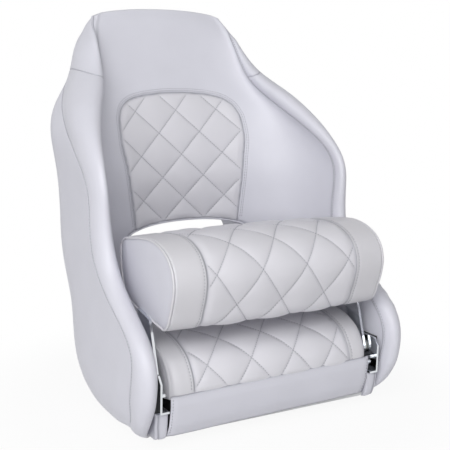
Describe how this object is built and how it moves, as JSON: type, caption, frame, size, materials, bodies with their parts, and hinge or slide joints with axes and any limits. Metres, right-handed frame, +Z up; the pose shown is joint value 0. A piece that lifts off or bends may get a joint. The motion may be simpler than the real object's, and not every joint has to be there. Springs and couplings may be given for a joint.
{
  "type": "folding boat seat",
  "caption": "Upholstered bucket helm seat with high wings, a quilted backrest and seat cushion, and a quilted front bolster that flips up on two hinged arms.",
  "frame": {"origin": "centre of the flat mounting face under the base board", "axes": "+Z up, -Y towards the front edge of the seat, +X to the right as seen from the front"},
  "size_m": [0.59, 0.6108, 0.819],
  "materials": {
    "vinyl": "pale grey-white marine vinyl with a fine grain",
    "quilted_vinyl": "warm white marine vinyl sewn in diamonds",
    "moulded_shell": "rotationally moulded polyethylene",
    "plywood": "marine plywood",
    "stainless": "polished stainless steel",
    "black_plastic": "black moulded polymer",
    "nylon": "natural nylon"
  },
  "bodies": {
    "seat": {"base_board": "plywood", "cushion_board": "plywood", "seat_riser": "plywood", "mount_insert_1": "stainless", "mount_insert_2": "stainless", "mount_insert_3": "stainless", "mount_insert_4": "stainless", "shell_screw_1": "stainless", "shell_screw_2": "stainless", "shell_screw_3": "stainless", "shell_screw_4": "stainless", "shell_floor": "moulded_shell", "shell_back": "moulded_shell", "shell_side_right": "moulded_shell", "shell_side_left": "moulded_shell", "outer_cover": "vinyl", "arch_lining": "vinyl", "backrest_pad": "vinyl", "front_skirt": "vinyl", "wing_pad_right": "vinyl", "wing_pad_left": "vinyl", "head_side_right": "vinyl", "head_side_left": "vinyl", "pocket_sill_right": "vinyl", "pocket_sill_left": "vinyl", "back_quilt_panel": "quilted_vinyl", "seat_cushion": "quilted_vinyl", "hinge_block_right": "black_plastic", "hinge_block_left": "black_plastic", "hinge_bracket_right": "stainless", "hinge_bracket_left": "stainless", "pivot_bolt_right": "stainless", "pivot_bolt_left": "stainless", "pivot_nut_right": "stainless", "pivot_nut_left": "stainless", "rest_stop_right": "stainless", "rest_stop_left": "stainless", "down_stop_right": "stainless", "down_stop_left": "stainless", "bracket_screw_1_right": "stainless", "bracket_screw_1_left": "stainless", "bracket_screw_2_right": "stainless", "bracket_screw_2_left": "stainless", "pivot_bush_right": "nylon", "pivot_bush_left": "nylon"},
    "bolster": {"bolster_board": "plywood", "bolster_end_right": "vinyl", "bolster_end_left": "vinyl", "bolster_piping_right": "vinyl", "bolster_piping_left": "vinyl", "bolster_pad": "quilted_vinyl", "arm_right": "stainless", "arm_left": "stainless", "arm_screw_1_right": "stainless", "arm_screw_1_left": "stainless", "arm_screw_2_right": "stainless", "arm_screw_2_left": "stainless"}
  },
  "joints": [
    {"name": "bolster_flip", "type": "hinge", "parent": "seat", "child": "bolster", "pos_m": [0, -0.162, 0.118], "axis": [1, 0, 0], "range_deg": [0, 95]}
  ]
}
